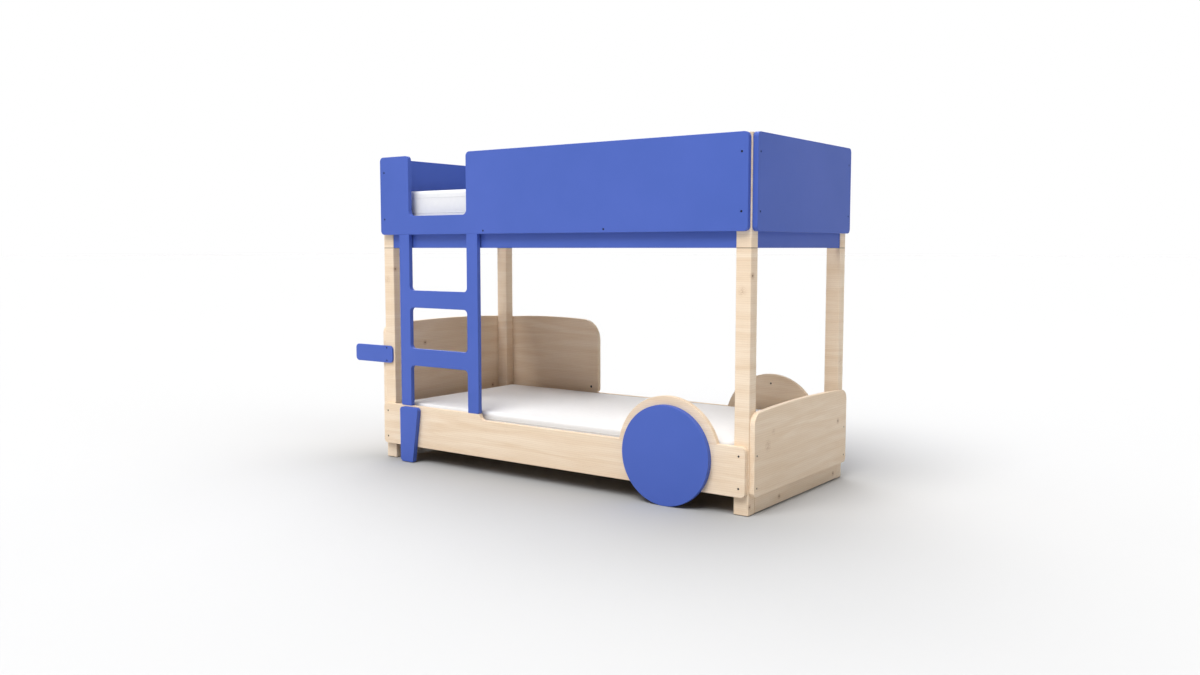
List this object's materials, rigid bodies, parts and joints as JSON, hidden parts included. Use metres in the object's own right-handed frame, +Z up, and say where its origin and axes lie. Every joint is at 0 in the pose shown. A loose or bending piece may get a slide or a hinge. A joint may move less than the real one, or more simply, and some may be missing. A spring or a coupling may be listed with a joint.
{
  "type": "bunk bed",
  "caption": "Low child's bunk bed shaped like a caravan: panelled upper bed on posts, flat ladder, arched lower boards, wheel discs with arches, a tow arm and a support leg.",
  "frame": {"origin": "on the floor, in the middle of the outer box", "axes": "+X towards the foot end, away from the tow arm; -Y towards the ladder side; +Z up"},
  "size_m": [2.418, 1.048, 1.58],
  "materials": {
    "birch": "clear matt lacquered pale birch, plain sawn, grain along the boards",
    "blue_lacquer": "satin opaque blue lacquer on smooth board",
    "slat_wood": "planed softwood",
    "plain_wood": "planed wood",
    "mattress_cover": "white woven cotton cover",
    "webbing": "grey woven webbing",
    "dark_steel": "black-oxide screws and fittings",
    "glide_plastic": "matt glides"
  },
  "bodies": {
    "frame": {"back_guard": "birch", "back_wheel": "blue_lacquer", "back_wheel_arch": "birch", "barrel_nuts": "dark_steel", "board_dowels": "plain_wood", "front_wheel": "blue_lacquer", "front_wheel_arch": "birch", "guard_lock": "dark_steel", "guard_stud": "dark_steel", "ladder": "blue_lacquer", "lower_back_rail": "birch", "lower_bearer_back": "plain_wood", "lower_bearer_front": "plain_wood", "lower_board_screws": "dark_steel", "lower_foot_panel": "birch", "lower_front_rail": "birch", "lower_head_panel": "birch", "lower_post_back_foot": "birch", "lower_post_back_head": "birch", "lower_post_front_foot": "birch", "lower_post_front_head": "birch", "lower_slat_straps": "webbing", "lower_slats": "slat_wood", "panel_rail_screws": "dark_steel", "plinth_foot": "birch", "plinth_head": "birch", "post_glides": "glide_plastic", "post_pins": "dark_steel", "rail_bolts": "dark_steel", "support_leg": "blue_lacquer", "tow_arm": "blue_lacquer", "tow_arm_screws": "dark_steel", "upper_back_panel": "blue_lacquer", "upper_back_rail": "blue_lacquer", "upper_bearer_back": "plain_wood", "upper_bearer_front": "plain_wood", "upper_foot_panel": "blue_lacquer", "upper_foot_rail": "blue_lacquer", "upper_front_panel": "blue_lacquer", "upper_front_rail": "blue_lacquer", "upper_head_panel": "blue_lacquer", "upper_head_rail": "blue_lacquer", "upper_panel_screws": "dark_steel", "upper_post_back_foot": "birch", "upper_post_back_head": "birch", "upper_post_front_foot": "birch", "upper_post_front_head": "birch", "upper_slat_straps": "webbing", "upper_slats": "slat_wood", "wheel_and_leg_screws": "dark_steel"},
    "lower_mattress": {"lower_mattress": "mattress_cover"},
    "upper_mattress": {"upper_mattress": "mattress_cover"}
  },
  "joints": [
    {"name": "lower_mattress_lift", "type": "slide", "parent": "frame", "child": "lower_mattress", "axis": [0, 0, 1], "range_m": [0, 0.4]},
    {"name": "upper_mattress_lift", "type": "slide", "parent": "frame", "child": "upper_mattress", "axis": [0, 0, 1], "range_m": [0, 0.4]}
  ]
}
